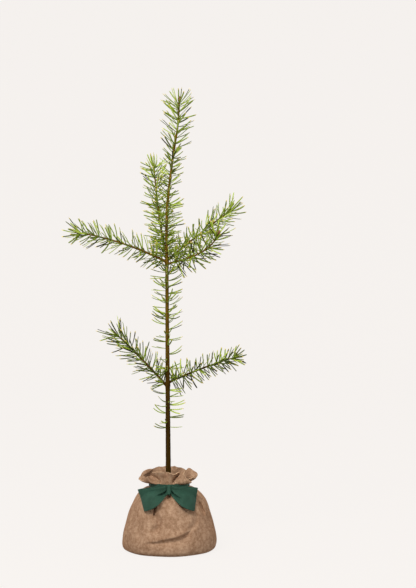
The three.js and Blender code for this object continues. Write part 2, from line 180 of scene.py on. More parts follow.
# Meshes and materials
def mesh_piece(name, verts, faces, materials, face_slots=None):
    mesh = bpy.data.meshes.new(name)
    mesh.from_pydata([tuple(v) for v in np.asarray(verts) * MM], [], faces)
    for material in materials:
        mesh.materials.append(material)
    if face_slots is not None:
        mesh.polygons.foreach_set("material_index", np.asarray(face_slots, np.int32))
    mesh.polygons.foreach_set("use_smooth", [True] * len(mesh.polygons))
    mesh.update()
    piece = bpy.data.objects.new(name, mesh)
    bpy.context.scene.collection.objects.link(piece)
    return piece


def tube_faces(rows, sides):
    """The faces between the rings of a tube, then a cap on its first ring and one on its last"""
    faces = []
    for i in range(rows):
        for j in range(sides):
            k = (j + 1) % sides
            faces.append((i * sides + j, i * sides + k, (i + 1) * sides + k, (i + 1) * sides + j))
    faces.append(tuple(reversed(range(sides))))
    faces.append(tuple(rows * sides + j for j in range(sides)))
    return faces


def place(piece, slot, *nodes):
    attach(piece, "root")
    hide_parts(*nodes)


class Nodes:
    """A material's node tree, with short calls to add and join its nodes"""

    def __init__(self, name, base, roughness):
        self.material = bpy.data.materials.new(name)
        self.material.use_nodes = True
        self.tree = self.material.node_tree
        self.shader = self.tree.nodes["Principled BSDF"]
        self.shader.inputs["Base Color"].default_value = base
        self.shader.inputs["Roughness"].default_value = roughness
        self.coords = self.tree.nodes.new("ShaderNodeTexCoord").outputs["Object"]

    def add(self, kind, **inputs):
        node = self.tree.nodes.new(kind)
        for key, value in inputs.items():
            self.feed(node.inputs[key.replace("_", " ")], value)
        return node

    def feed(self, socket, value):
        if isinstance(value, bpy.types.NodeSocket):
            self.tree.links.new(value, socket)
        else:
            socket.default_value = value

    def noise(self, scale, detail=3.0, stretch=(1, 1, 1), roughness=0.5):
        mapping = self.add("ShaderNodeMapping", Vector=self.coords, Scale=stretch)
        noise = self.add("ShaderNodeTexNoise", Vector=mapping.outputs[0], Scale=scale, Detail=detail)
        noise.inputs["Roughness"].default_value = roughness
        return noise.outputs["Fac"]

    def ramp(self, factor, stops):
        ramp = self.add("ShaderNodeValToRGB", Fac=factor)
        elements = ramp.color_ramp.elements
        while len(elements) < len(stops):
            elements.new(0.5)
        for element, (position, shade) in zip(elements, stops):
            element.position = position
            element.color = shade
        return ramp.outputs["Color"]

    def mix(self, factor, a, b, blend="MIX"):
        node = self.add("ShaderNodeMixRGB", Fac=factor, Color1=a, Color2=b)
        node.blend_type = blend
        return node.outputs[0]

    def bump(self, height, strength, distance, normal=None):
        node = self.add("ShaderNodeBump", Height=height, Strength=strength, Distance=distance)
        if normal is not None:
            self.feed(node.inputs["Normal"], normal)
        return node.outputs[0]

    def finish(self, base=None, roughness=None, normal=None, **plain):
        if base is not None:
            self.feed(self.shader.inputs["Base Color"], base)
        if roughness is not None:
            self.feed(self.shader.inputs["Roughness"], roughness)
        if normal is not None:
            self.feed(self.shader.inputs["Normal"], normal)
        for key, value in plain.items():
            self.shader.inputs[key.replace("_", " ")].default_value = value
        return self.material


def bark_material():
    n = Nodes("bark", colour(66, 44, 14), 0.88)
    height = n.add("ShaderNodeSeparateXYZ", Vector=n.coords).outputs["Z"]
    base = n.ramp(
        height,
        [
            (0.15, colour(64, 44, 4)),
            (0.33, colour(74, 52, 8)),
            (0.42, colour(108, 84, 22)),
            (0.66, colour(128, 102, 32)),
            (0.86, colour(124, 100, 26)),
        ],
    )
    streaks = n.noise(420, 4, (1, 1, 0.12))
    flakes = n.noise(900, 3, (1, 1, 0.5))
    shade = n.ramp(
        streaks,
        [(0.3, colour(130, 112, 88)), (0.52, colour(214, 208, 196)), (0.7, colour(255, 250, 226))],
    )
    base = n.mix(0.85, base, shade, "MULTIPLY")
    algae = n.ramp(flakes, [(0.66, grey(0)), (0.74, grey(0.5))])
    base = n.mix(algae, base, colour(112, 118, 50))
    normal = n.bump(streaks, 0.7, 0.0006)
    normal = n.bump(flakes, 0.4, 0.0003, normal)
    return n.finish(base, None, normal, Specular_IOR_Level=0.05)


def needle_material(name, base):
    n = Nodes(name, colour(*base), 0.5)
    rough = n.ramp(n.noise(700, 2), [(0.3, grey(0.44)), (0.7, grey(0.62))])
    normal = n.bump(n.noise(1500, 2, (1, 1, 0.3)), 0.15, 0.0002)
    return n.finish(None, rough, normal, Specular_IOR_Level=0.16)


def bud_material():
    n = Nodes("bud", colour(140, 72, 56), 0.5)
    base = n.ramp(
        n.noise(600, 3),
        [(0.3, colour(82, 38, 28)), (0.55, colour(134, 70, 54)), (0.8, colour(184, 124, 86))],
    )
    return n.finish(base, None, n.bump(n.noise(1200, 2), 0.3, 0.0003), Coat_Weight=0.15)


def cloth_material():
    n = Nodes("suede_cloth", colour(166, 134, 107), 0.92)
    cloud = n.noise(34, 3, (1, 1, 1), 0.6)
    blotch = n.noise(150, 4, (1, 1, 1), 0.66)
    nap = n.noise(620, 3)
    fine = n.noise(2600, 2)
    base = n.ramp(
        blotch,
        [
            (0.32, colour(146, 115, 89)),
            (0.5, colour(168, 136, 110)),
            (0.68, colour(190, 159, 132)),
        ],
    )
    cloud_tone = n.ramp(cloud, [(0.36, colour(214, 202, 192)), (0.62, colour(255, 254, 252))])
    nap_tone = n.ramp(nap, [(0.35, colour(206, 196, 188)), (0.65, colour(255, 255, 255))])
    base = n.mix(0.5, base, cloud_tone, "MULTIPLY")
    base = n.mix(0.3, base, nap_tone, "MULTIPLY")
    normal = n.bump(blotch, 0.1, 0.001)
    normal = n.bump(nap, 0.3, 0.0006, normal)
    normal = n.bump(fine, 0.3, 0.0003, normal)
    return n.finish(
        base, None, normal,
        Sheen_Weight=0.2, Sheen_Roughness=0.45, Sheen_Tint=colour(214, 142, 84), Specular_IOR_Level=0.1,
    )


# The cut edge is lighter than the face: partly the cut fibres' own colour, partly a painted highlight
# that marks the rim's line
def cloth_edge_and_highlight_material():
    n = Nodes("suede_cut_edge", colour(206, 172, 138), 0.95)
    fibres = n.noise(1400, 3)
    base = n.ramp(fibres, [(0.3, colour(188, 152, 118)), (0.7, colour(222, 190, 156))])
    return n.finish(base, None, n.bump(fibres, 0.4, 0.0003), Specular_IOR_Level=0.1)


def ribbon_material():
    n = Nodes("ribbon_cloth", colour(36, 74, 58), 0.72)
    base = n.ramp(n.noise(60, 3), [(0.3, colour(32, 64, 50)), (0.7, colour(42, 78, 63))])
    weave = n.add("ShaderNodeTexWave", Vector=n.coords, Scale=700.0, Distortion=0.6, Detail=1.0)
    weave.bands_direction = "DIAGONAL"
    normal = n.bump(weave.outputs["Fac"], 0.12, 0.0002)
    normal = n.bump(n.noise(1800, 2), 0.2, 0.0002, normal)
    return n.finish(
        base, None, normal,
        Sheen_Weight=0.08, Sheen_Roughness=0.4, Sheen_Tint=colour(120, 170, 150), Specular_IOR_Level=0.2,
    )


def soil_material():
    n = Nodes("peat", colour(44, 32, 24), 0.95)
    grains = n.noise(500, 4)
    base = n.ramp(
        grains,
        [(0.3, colour(24, 17, 12)), (0.6, colour(58, 42, 30)), (0.8, colour(96, 76, 56))],
    )
    return n.finish(base, None, n.bump(grains, 0.8, 0.002))


BARK = bark_material()
# The tones run from pale to near black: partly the needles' own spread of colour, and partly painted
# light and shade, as the palest stand for lit needles and the darkest for shaded ones
NEEDLE_TONES = [
    ("needle_fresh", (146, 168, 46)),
    ("needle_mid", (116, 134, 30)),
    ("needle_light", (184, 204, 88)),
    ("needle_deep", (80, 92, 18)),
    ("needle_grey", (130, 144, 66)),
    ("needle_dark", (46, 48, 8)),
]
# Each tone's share of the needles, and how much more of it there is where a shoot leans to the dark,
# that is, where shade is painted
NEEDLE_SHARES = (0.28, 0.22, 0.19, 0.15, 0.08, 0.08)
NEEDLE_SHADE = (-0.4, 0.2, -0.7, 1.3, -0.3, 2.6)
NEEDLES = [needle_material(name, base) for name, base in NEEDLE_TONES]
NEEDLE_FOOT = needle_material("needle_foot", (128, 152, 56))
NEEDLE_POINT = needle_material("needle_point", (222, 200, 108))
BUD = bud_material()
CLOTH = cloth_material()
CLOTH_EDGE_AND_HIGHLIGHT = cloth_edge_and_highlight_material()
RIBBON = ribbon_material()
SOIL = soil_material()


# Curves
def centripetal(points, samples=24):
    """A smooth line through the points, as the frame's stem has it"""
    p = [np.array(q, float) for q in points]
    p = [2 * p[0] - p[1], *p, 2 * p[-1] - p[-2]]
    line = []
    for i in range(1, len(p) - 2):
        p0, p1, p2, p3 = p[i - 1 : i + 3]
        d0, d1, d2 = (math.sqrt(np.linalg.norm((b - a)[:3])) for a, b in ((p0, p1), (p1, p2), (p2, p3)))
        t1 = ((p1 - p0) / d0 - (p2 - p0) / (d0 + d1) + (p2 - p1) / d1) * d1
        t2 = ((p2 - p1) / d1 - (p3 - p1) / (d1 + d2) + (p3 - p2) / d2) * d1
        for k in range(samples):
            t = k / samples
            a = 2 * t**3 - 3 * t**2 + 1
            b = t**3 - 2 * t**2 + t
            c = -2 * t**3 + 3 * t**2
            d = t**3 - t**2
            line.append(a * p1 + b * t1 + c * p2 + d * t2)
    line.append(p[-2])
    return np.array(line)


class Limb:
    """A line with a radius, read by the share of its length"""

    def __init__(self, name, line, radius):
        self.name = name
        self.line = line
        self.radius = radius
        steps = np.linalg.norm(np.diff(line, axis=0), axis=1)
        self.reach = np.concatenate([[0], np.cumsum(steps)])
        self.length = self.reach[-1]

    def point(self, share):
        at = np.clip(share, 0, 1) * self.length
        return np.array([np.interp(at, self.reach, self.line[:, k]) for k in range(3)]).T

    def axes(self, share):
        step = 0.5 / self.length
        tangent = self.point(share + step) - self.point(share - step)
        tangent /= np.linalg.norm(tangent)
        side = np.cross((0, 1, 0), tangent)
        side /= np.linalg.norm(side)
        return tangent, side, np.cross(tangent, side)

    def samples(self, spacing=2.0):
        shares = np.linspace(0, 1, int(self.length / spacing))
        return self.point(shares), np.array([self.radius(s) for s in shares])


def stem_radius(share):
    flare = ROOT_FLARE * math.exp(-share * (STEM_TIP_HEIGHT - SOIL_HEIGHT) / ROOT_FLARE_HEIGHT)
    return STEM_FOOT_RADIUS + (STEM_TIP_RADIUS - STEM_FOOT_RADIUS) * share + flare


STEM = Limb("stem", centripetal(STEM_LINE), stem_radius)


def stem_share(height):
    return (height - SOIL_HEIGHT) / (STEM_TIP_HEIGHT - SOIL_HEIGHT)


def bough_limb(bough, steps=10):
    azimuth = math.radians(bough["azimuth"])
    place_now = STEM.point(stem_share(bough["whorl"])).astype(float)
    points = [place_now.copy()]
    step = bough["length"] / steps
    for i in range(steps):
        share = ((i + 0.5) / steps) ** bough["bend"]
        rise = math.radians(bough["rise"][0] + (bough["rise"][1] - bough["rise"][0]) * share)
        flat = math.cos(rise) * step
        place_now += (math.cos(azimuth) * flat, math.sin(azimuth) * flat, math.sin(rise) * step)
        points.append(place_now.copy())
    foot = bough["radius"]

    def radius(share):
        collar = 0.9 * math.exp(-share * bough["length"] / 6)
        return foot + (BOUGH_TIP_RADIUS - foot) * share + collar

    return Limb(bough["name"], centripetal(points, 8), radius)


BOUGH_LIMBS = [bough_limb(b) for b in BOUGHS]
ALL_LIMBS = [STEM, *BOUGH_LIMBS]


# Bark: a closed tube whose rings carry furrows, leaf cushions and the swellings at the whorls
def bark_piece(name, limb, node, sides, spacing, relief, low=0.0, swellings=()):
    rng = np.random.default_rng(len(name) * 7 + 3)
    rows = max(int(limb.length * (1 - low) / spacing), 8)
    angles = np.linspace(0, 2 * math.pi, sides, endpoint=False)
    phases = rng.uniform(0, 2 * math.pi, 6)
    verts = []
    for i in range(rows + 1):
        share = low + (1 - low) * i / rows
        at = share * limb.length
        _, side, over = limb.axes(share)
        centre = limb.point(share)
        radius = limb.radius(share)
        for swelling, extra, width in swellings:
            radius += extra * math.exp(-(((at - swelling) / width) ** 2))
        for a in angles:
            furrow = math.sin(5 * a + phases[0] + 0.05 * at) * math.sin(0.31 * at + phases[1] + 2 * a)
            fine = math.sin(9 * a + phases[2] + 0.13 * at) * math.sin(0.9 * at + phases[3] + 3 * a)
            spiral = math.sin(3 * a + 0.9 * at + phases[4]) * math.sin(2 * a - 0.55 * at + phases[5])
            cushion = max(0.0, spiral) ** 2
            r = radius + relief * (0.4 * furrow + 0.25 * fine + 0.6 * cushion)
            verts.append(centre + r * (math.cos(a) * side + math.sin(a) * over))
    place(mesh_piece(name, verts, tube_faces(rows, sides), [BARK]), "bark", node)


# The stem swells at each whorl: how far along it, by how much and over what length
WHORL_SWELLINGS = [(LOWER_WHORL - SOIL_HEIGHT, 1.0, 7.0), (UPPER_WHORL - SOIL_HEIGHT, 1.1, 8.0)]
BOUGH_BARK_START = 2.2
bark_piece("bark_stem", STEM, "trunk", sides=22, spacing=1.3, relief=0.32, swellings=WHORL_SWELLINGS)
for limb in BOUGH_LIMBS:
    bark_piece(
        "bark_" + limb.name, limb, "bough_" + limb.name,
        sides=14, spacing=1.1, relief=0.2, low=BOUGH_BARK_START / limb.length,
    )


# Needles: each is a curved blade with a blunt point, flat on the side that faces its partner
PROFILE = [(-1.0, 0.0), (-0.55, 0.52), (0.55, 0.52), (1.0, 0.0), (0.0, -0.3)]
NEEDLE_STEPS = (0, 0.08, 0.2, 0.35, 0.5, 0.65, 0.8, 0.91, 0.965, 1)
NEEDLE_GIRTH = (0.72, 0.84, 0.96, 1, 1, 1, 0.98, 0.92, 0.72, 0.2)
FOOT_ROWS = 2
POINT_ROWS = 2
FOOT_SLOT = len(NEEDLES)
POINT_SLOT = FOOT_SLOT + 1


def needle_points(root, aim, lift, length, droop, curl):
    """The centre line: it leaves along aim and turns by curl towards lift, with droop taken off"""
    steps = np.array(NEEDLE_STEPS)
    along = length * steps
    bend = length * (curl * steps**2.2 - droop * np.sin(math.pi * steps) * 0.5)
    return root + np.outer(along, aim) + np.outer(bend, lift)


class NeedleMass:
    """Collects needles as one mesh, each face with the slot of its colour"""

    def __init__(self, name, seed):
        self.name = name
        self.rng = np.random.default_rng(seed)
        self.verts = []
        self.faces = []
        self.slots = []

    def add(self, line, flat, width, tone, pointed):
        start = len(self.verts)
        sides = len(PROFILE)
        rows = len(line)
        for i, centre in enumerate(line):
            ahead = line[min(i + 1, rows - 1)] - line[max(i - 1, 0)]
            ahead /= np.linalg.norm(ahead)
            across = flat - ahead * np.dot(flat, ahead)
            across /= np.linalg.norm(across)
            up = np.cross(ahead, across)
            half = width / 2 * NEEDLE_GIRTH[i]
            for x, y in PROFILE:
                self.verts.append(centre + half * (x * across + y * up))
        point_slot = POINT_SLOT if pointed else tone
        for i in range(rows - 1):
            slot = FOOT_SLOT if i < FOOT_ROWS else (point_slot if i >= rows - 1 - POINT_ROWS else tone)
            for j in range(sides):
                k = (j + 1) % sides
                a = start + i * sides
                self.faces.append((a + k, a + j, a + sides + j, a + sides + k))
                self.slots.append(slot)
        self.faces.append(tuple(start + j for j in range(sides)))
        self.slots.append(FOOT_SLOT)
        top = start + (rows - 1) * sides
        self.faces.append(tuple(top + j for j in reversed(range(sides))))
        self.slots.append(point_slot)

    def piece(self, node):
        materials = [*NEEDLES, NEEDLE_FOOT, NEEDLE_POINT]
        place(mesh_piece(self.name, self.verts, self.faces, materials, self.slots), "needles", node)


def touches(line, own_name):
    """Whether a needle runs into a limb, or comes back to its own beyond its foot"""
    for limb_name, points, radii in LIMB_SAMPLES:
        own = limb_name == own_name
        tested = line[4:] if own else line[1:]
        gaps = np.linalg.norm(tested[:, None, :] - points[None, :, :], axis=2) - radii[None, :]
        if gaps.min() < (OWN_LIMB_GAP if own else OTHER_LIMB_GAP):
            return True
    return False


LIMB_SAMPLES = [(limb.name, *limb.samples()) for limb in ALL_LIMBS]


def tone_of(rng, painted_shade):
    """A tone's number, with painted shade: needles that point down, and shady shoots, are more often dark
    """
    shares = np.array(NEEDLE_SHARES) * np.maximum(1 + painted_shade * np.array(NEEDLE_SHADE), 0.1)
    return int(rng.choice(len(NEEDLES), p=shares / shares.sum()))


def grow(mass, limb, low, high, count, stretch):
    """Pairs of needles up a shoot by the golden angle, from low to high as shares of its length"""
    rng = mass.rng
    lean, length = stretch["lean"], stretch["length"]
    start = rng.uniform(0, 360)
    wave = 2 * math.pi * count / BUNCH_PAIRS
    fan, fan_lean = (LEADER_TIP_PAIRS, LEADER_TIP_LEAN) if limb is STEM else (TIP_PAIRS, TIP_LEAN)
    if limb is STEM and high < stem_share(LEADER_TIP_FOOT):
        fan = 0
    for i in range(count + fan):
        step = (min(i, count) + 0.5) / count
        step += BUNCH_PULL * math.sin(wave * step + start) / wave
        for attempt in range(GROW_TRIES):
            share = low + (high - low) * (step + rng.uniform(-SPACING_JITTER, SPACING_JITTER) / count)
            if i >= count:
                share = TIP_END - TIP_DEPTH * rng.uniform() / limb.length
            turn = start + i * GOLDEN_ANGLE + rng.uniform(-TURN_JITTER, TURN_JITTER) * (1 + attempt)
            turn = math.radians(turn)
            tilt = lean[0] + (lean[1] - lean[0]) * min(step, 1) ** 2
            tilt += rng.uniform(-LEAN_JITTER, LEAN_JITTER)
            if i >= count:
                tilt = fan_lean[0] + (fan_lean[1] - fan_lean[0]) * (i - count) / (fan - 1)
            tilt = math.radians(tilt)
            reach = length[0] + (length[1] - length[0]) * min(step, 1)
            reach *= rng.uniform(*LENGTH_SPREAD)
            tangent, side, over = limb.axes(share)
            outward = math.cos(turn) * side + math.sin(turn) * over
            aim = math.cos(tilt) * tangent + math.sin(tilt) * outward
            across = np.cross(aim, tangent)
            across /= np.linalg.norm(across)
            roll = rng.uniform(-PAIR_ROLL, PAIR_ROLL)
            pair = math.cos(roll) * across + math.sin(roll) * np.cross(aim, across)
            root = limb.point(share) + outward * limb.radius(share) * ROOT_DEPTH_SHARE
            half = math.radians(FORK_ANGLE * rng.uniform(*FORK_SPREAD))
            lift = tangent * 0.75 + np.array((0, 0, 0.65))
            lift -= aim * np.dot(lift, aim)
            lift /= max(np.linalg.norm(lift), 1e-6)
            curl = stretch["upturn"] * rng.uniform(*UPTURN_SPREAD)
            lines = []
            for sign in (-1, 1):
                own = math.cos(half) * aim + sign * math.sin(half) * pair
                own_length = reach * rng.uniform(*TWIN_LENGTH_SPREAD)
                begin = root + sign * pair * PAIR_FOOT_GAP
                lines.append(needle_points(begin, own, lift, own_length, DROOP * rng.uniform(0, 1), curl))
            if any(touches(line, limb.name) for line in lines):
                continue
            # Painted shade: the shoot's own shade value and a downward aim pull the tones towards the
            # dark ones
            painted_shade = stretch["shade"] + DOWN_SHADE * max(0.0, -aim[2])
            tone = tone_of(rng, painted_shade)
            for line in lines:
                own_tone = tone if rng.uniform() < TWIN_TONE_SHARE else tone_of(rng, painted_shade)
                width = NEEDLE_WIDTH * rng.uniform(*WIDTH_SPREAD)
                mass.add(line, pair, width, own_tone, rng.uniform() < PALE_POINT_SHARE)
            break


BOUGH_SEED = 300
STEM_SEED = 500
for number, (stretch, limb) in enumerate(zip(BOUGH_NEEDLES, BOUGH_LIMBS)):
    mass = NeedleMass("needles_on_" + stretch["name"], BOUGH_SEED + number)
    count = int((limb.length - BOUGH_BARE) / stretch["spacing"])
    grow(mass, limb, BOUGH_BARE / limb.length, SHOOT_END, count, stretch)
    mass.piece("needles_" + stretch["name"])
for number, stretch in enumerate(STEM_NEEDLES):
    mass = NeedleMass("needles_on_" + stretch["name"], STEM_SEED + number)
    low, high = stem_share(stretch["low"]), stem_share(stretch["high"])
    count = int((stretch["high"] - stretch["low"]) / stretch["spacing"])
    grow(mass, STEM, low, high, count, stretch)
    mass.piece("needles_" + stretch["name"])


# Buds: a pointed spindle wrapped in overlapping scales
def bud_piece(name, limb, node, length, radius):
    rows, sides, scales = 30, 20, 7
    tangent, side, over = limb.axes(1.0)
    base = limb.point(1.0)
    verts = []
    for i in range(rows + 1):
        t = i / rows
        body = math.sin(math.pi * min(0.97, 0.18 + 0.82 * t) ** 1.1) ** 0.75
        scale = 1 - 0.1 * ((t * scales) % 1.0)
        for j in range(sides):
            a = 2 * math.pi * j / sides
            ridge = 1 + 0.06 * math.cos(5 * a + 2.4 * math.floor(t * scales))
            r = radius * body * scale * ridge * (1 if i < rows else 0.3)
            verts.append(base + tangent * (t * length) + r * (math.cos(a) * side + math.sin(a) * over))
    place(mesh_piece(name, verts, tube_faces(rows, sides), [BUD]), "bud", node)


for limb in BOUGH_LIMBS:
    bud_piece("bud_on_" + limb.name, limb, "bud_" + limb.name, length=10, radius=2.1)
bud_piece("bud_on_leader", STEM, "bud_leader", length=12, radius=3.3)


# Pouch
POUCH_BODY = [
    (72, 0), (85, 0.9), (91.5, 5), (94, 13), (93, 30), (88.6, 50), (83, 71),
    (76, 90), (67.5, 105.5), (57, 117.5), (48, 123.6), (37, 127.2), (34.5, 134),
]
POUCH_DEPTH_SHARE = 0.95
NECK_RADIUS = 34.5
NECK_HEIGHT = 134.0
CLOTH_THICKNESS = 1.5
FLOOR_RADIUS = 70.0
RIM_STEP = 7
BODY_ROWS = 112
FRILL_ROWS = 26

# The frill's rim in turn from the left of the front panel: its place (x, y, height), the azimuth at
# which that cloth is gathered at the neck, how far it stands up there before it runs out, and how
# its edge rolls: below nought it cups up, and above nought it bulges forward on the right hand, and on
# the left hand it folds back in over the mouth.
RIM = [
    (-37, -20, 150, -114.5, 8, 0), (-33.5, -26, 156.5, -112, 9, 0), (-23, -32, 158.4, -106, 10, 0),
    (-12.5, -36.5, 159, -100, 11, 0), (-4.5, -32, 158.4, -95, 11, 0), (3, -37.5, 156.8, -90, 11, 0),
    (9, -35.5, 154.4, -85, 11, 0), (14, -33, 154.6, -81.5, 10, 0), (18.5, -29, 156.6, -79, 9, 0),
    (23, -20, 154, -77, 8, 0), (26, -9, 151, -75.5, 7, 0), (31, -24, 161, -74, 8, 0),
    (29.5, -38, 154, -72.5, 5, -4), (36, -42, 147, -69, 2, -7), (41, -41, 142, -62, 0, -7),
    (45.5, -37.5, 139.5, -53, 0, -5), (44.5, -31, 140.5, -46, 1, -3), (38, -25.5, 143, -40, 4, 0),
    (42, -23, 144, -34, 3, -2), (48.5, -19.5, 146.8, -28, 2, -4), (49, -14.5, 147.5, -22, 3, -3),
    (44.5, -11, 148.5, -17, 5, 0), (49, -9, 145, -12, 2, -4), (54.5, -6.5, 145, -7, 1, -5),
    (57, -1, 148, -2, 3, 4), (54.5, 5, 151.4, 4, 6, 9), (48, 10, 154.8, 10, 7, 12),
    (39, 16, 159.2, 18, 9, 10), (34, 19, 154.5, 27, 9, 3), (32, 28, 155.4, 35, 9, 0),
    (25, 37, 157.2, 47, 10, 0), (17, 40, 158, 60, 10, 0), (10, 47.5, 159.4, 71, 10, 0),
    (2, 42, 159.4, 82, 10, 0), (-6, 48, 160.4, 93, 10, 0), (-14, 41.5, 159.2, 104, 10, 0),
    (-22, 44, 158.8, 115, 10, 0), (-29.5, 37, 157.8, 126, 10, 0), (-33.5, 24, 156, 140, 9, 6),
    (-38, 12, 154.5, 150, 8, 11), (-43.5, 3, 151.5, 159, 7, 14), (-50, -3, 148.5, 169, 5, 13),
    (-57, -6, 145, 181, 2, 6), (-61, -9, 142, 194, 0, 0), (-57.5, -14, 140, 206, 0, -4),
    (-50.5, -20.5, 139.8, 217, 0, -6), (-45, -29, 146.5, 230, 0, -11), (-41, -35, 151.8, 239, 1, -14),
    (-39.5, -27, 149, 243.5, 6, -4),
]
# Where the cloth turns in at the neck: the azimuth, the depth and the width in degrees
NECK_GROOVES = [
    (-75.3, 11.0, 3.2), (242.5, 10.0, 3.4),
    (-40, 4.0, 3.0), (-16, 4.0, 3.0), (138, 4.0, 4.0), (27, 4.0, 4.0),
]


def smoothstep(low, high, x):
    t = np.clip((x - low) / (high - low), 0, 1)
    return t * t * (3 - 2 * t)


def body_outline(rows):
    """Radius and height at even steps along the pouch's side, smoothed through its profile"""
    flat = [(r, 0, h) for r, h in POUCH_BODY]
    line = centripetal(flat, 16)
    reach = np.concatenate([[0], np.cumsum(np.linalg.norm(np.diff(line, axis=0), axis=1))])
    at = np.linspace(0, reach[-1], rows)
    return np.interp(at, reach, line[:, 0]), np.interp(at, reach, line[:, 2])


# On the front, as points (x, height) in millimetres. A fold is a lip of cloth that hangs over the
# cloth on its right hand as the points run, and late makes it deepen towards its end. A pleat is a
# narrow groove, and its taper is how much narrower it ends.
FOLDS = [
    dict(
        points=[(-38, 27.5), (-21, 29.6), (-7, 32.7), (7, 35.3), (21, 37.8), (31, 42), (39, 47.5)],
        lip=4.6, depth=9.0, edge=4.8, above=14, below=8, late=0.35,
    ),
    dict(
        points=[(84, 40), (80, 58), (74, 78), (66, 96)],
        lip=2.2, depth=3.2, edge=2.6, above=8, below=9, late=0.0,
    ),
]
PLEATS = [
    dict(
        points=[(-28, 108), (-27.4, 98), (-27, 90), (-27.6, 79)],
        width=6.4, taper=0.85, depth=16.0, lip=2.0,
    ),
    dict(
        points=[(-25, 80), (-18, 69), (-17, 60), (-22, 53), (-30, 49)],
        width=7.0, taper=0, depth=7.0, lip=1.2,
    ),
    dict(
        points=[(59.2, 99), (63, 91.5), (66.8, 84), (70.4, 77)],
        width=4.4, taper=0.45, depth=14.0, lip=2.6,
    ),
    dict(points=[(71, 77), (77, 64), (82, 50)], width=4.0, taper=0, depth=4.0, lip=1.4),
    dict(points=[(22, 106), (29, 96), (35.5, 87)], width=3.2, taper=0.5, depth=9.0, lip=1.6),
    dict(points=[(1.0, 124), (1.0, 117), (1.6, 110)], width=7.4, taper=0.4, depth=20.0, lip=1.6),
    dict(points=[(41, 51), (49, 57), (54.5, 67), (54, 79)], width=6.0, taper=0, depth=3.6, lip=1.0),
    dict(points=[(-64, 86), (-70, 68), (-72, 50)], width=7.0, taper=0, depth=2.6, lip=1.0),
    dict(points=[(-52, 62), (-58, 46), (-56, 30)], width=8.0, taper=0, depth=2.2, lip=1.0),
]


def from_line(crease, x, z):
    """Each place's distance from a crease, plus on its left hand, a fade towards the crease's ends, and
    how far along it the place lies"""
    line = centripetal([(px, 0, pz) for px, pz in crease["points"]], 10)[:, (0, 2)]
    ahead = np.gradient(line, axis=0)
    ahead /= np.linalg.norm(ahead, axis=1, keepdims=True)
    gaps = np.sqrt((x[:, None] - line[None, :, 0]) ** 2 + (z[:, None] - line[None, :, 1]) ** 2)
    nearest = gaps.argmin(axis=1)
    dx, dz = x - line[nearest, 0], z - line[nearest, 1]
    left = np.sign(ahead[nearest, 0] * dz - ahead[nearest, 1] * dx)
    share = nearest / (len(line) - 1)
    low, high = line.min(axis=0), line.max(axis=0)
    beyond = np.hypot(x - np.clip(x, low[0], high[0]), z - np.clip(z, low[1], high[1]))
    fade = np.sin(math.pi * (0.06 + 0.88 * share)) ** 0.5 * np.exp(-((beyond / 5) ** 2))
    return gaps.min(axis=1) * left, fade, share


def crease_relief(x, z):
    """How far the cloth of the front moves out at each place"""
    relief = np.zeros_like(x)
    for fold in FOLDS:
        gap, fade, share = from_line(fold, x, z)
        fade = fade * (1 + fold["late"] * (2 * share - 1))
        over = smoothstep(-fold["edge"], fold["edge"], gap)
        out = fold["lip"] * np.exp(-np.abs(gap) / fold["above"])
        back = -fold["depth"] * np.exp(-np.abs(gap) / fold["below"])
        relief += fade * (over * out + (1 - over) * back) * np.exp(-((gap / 26) ** 2))
    for pleat in PLEATS:
        gap, fade, share = from_line(pleat, x, z)
        gap = np.abs(gap)
        width = pleat["width"] * (1 - pleat["taper"] * share)
        relief -= fade * pleat["depth"] * np.exp(-((gap / width) ** 2))
        relief += fade * pleat["lip"] * np.exp(-(((gap - 2 * width) / (1.4 * width)) ** 2))
    return relief


def pouch_rings(angle):
    radii, heights = body_outline(BODY_ROWS)
    phase = np.random.default_rng(11).uniform(0, 2 * math.pi, 8)
    front = smoothstep(0.1, -0.3, np.sin(angle))
    rings = []
    for r, h in zip(radii, heights):
        pleats = np.cos(11 * angle + 0.6) + 0.6 * np.cos(17 * angle - 1.1)
        pleats += 0.5 * np.cos(29 * angle + phase[0])
        near_neck = smoothstep(70, 116, h) * (1 - smoothstep(119, 128, h))
        belly = np.cos(3 * angle + 0.4) * smoothstep(8, 40, h) * (1 - smoothstep(90, 120, h))
        slack = np.cos(5 * angle + phase[1] + h / 26) * np.cos(2 * angle + phase[2] - h / 40)
        rumple = np.cos(9 * angle + phase[4] - h / 13) * np.cos(4 * angle + phase[5] + h / 17)
        folds = 0.9 * pleats * near_neck * (1 + 0.8 * (1 - front)) + 1.0 * belly
        folds += (0.8 * slack + 0.5 * rumple) * smoothstep(6, 26, h) * (1 - smoothstep(100, 122, h))
        base = r + folds * smoothstep(0, 6, h)
        x = base * np.cos(angle)
        z = np.full_like(x, h)
        out = crease_relief(x, z) * front * smoothstep(6, 20, h) * (1 - smoothstep(121, 128, h))
        foot = 0.35 * np.cos(7 * angle + phase[3]) * (1 - smoothstep(0, 6, h)) * smoothstep(0, 1.0, h)
        rings.append(np.stack([x, base * np.sin(angle) * POUCH_DEPTH_SHARE - out, z + foot], 1))
    return rings


def rim_lines():
    """The rim as points in space, and for each its cloth's azimuth and rise at the neck, and its roll"""
    rows = [np.array(row, float) for row in RIM]
    turn = np.array((0, 0, 0, 360.0, 0, 0))
    closed = [rows[-2] - turn, rows[-1] - turn, *rows, rows[0] + turn, rows[1] + turn]
    line = centripetal(closed, RIM_STEP)[2 * RIM_STEP : (2 + len(rows)) * RIM_STEP]
    return line[:, :3], np.radians(line[:, 3]), line[:, 4], line[:, 5]


